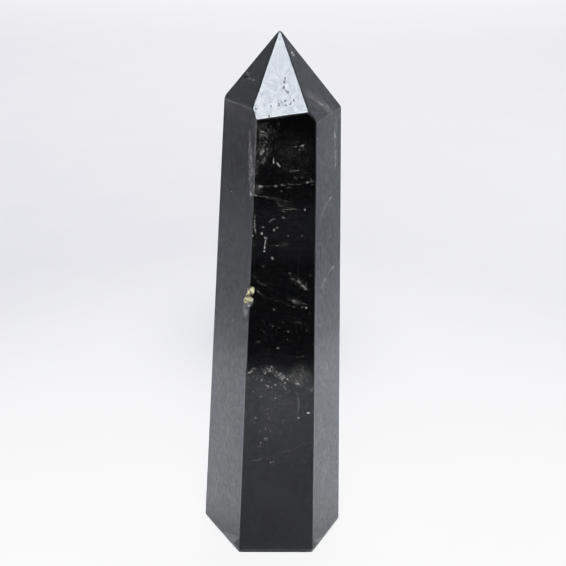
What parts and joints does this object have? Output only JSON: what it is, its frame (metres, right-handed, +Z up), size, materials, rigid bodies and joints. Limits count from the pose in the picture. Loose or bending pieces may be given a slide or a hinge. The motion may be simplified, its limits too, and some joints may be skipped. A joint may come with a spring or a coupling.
{
  "type": "morion quartz crystal point",
  "caption": "Polished free-standing point of black morion quartz: a tapering six-sided prism with a faceted tip, cut flat at the foot.",
  "frame": {"origin": "the middle of the flat foot, on the surface that the crystal stands on", "axes": "+Z up along the crystal to its tip, -Y out of the front prism face, +X to the right of that face"},
  "size_m": [0.0328, 0.0282, 0.1196],
  "materials": {
    "morion": "polished"
  },
  "bodies": {
    "root": {"morion_crystal": "morion"}
  },
  "joints": []
}
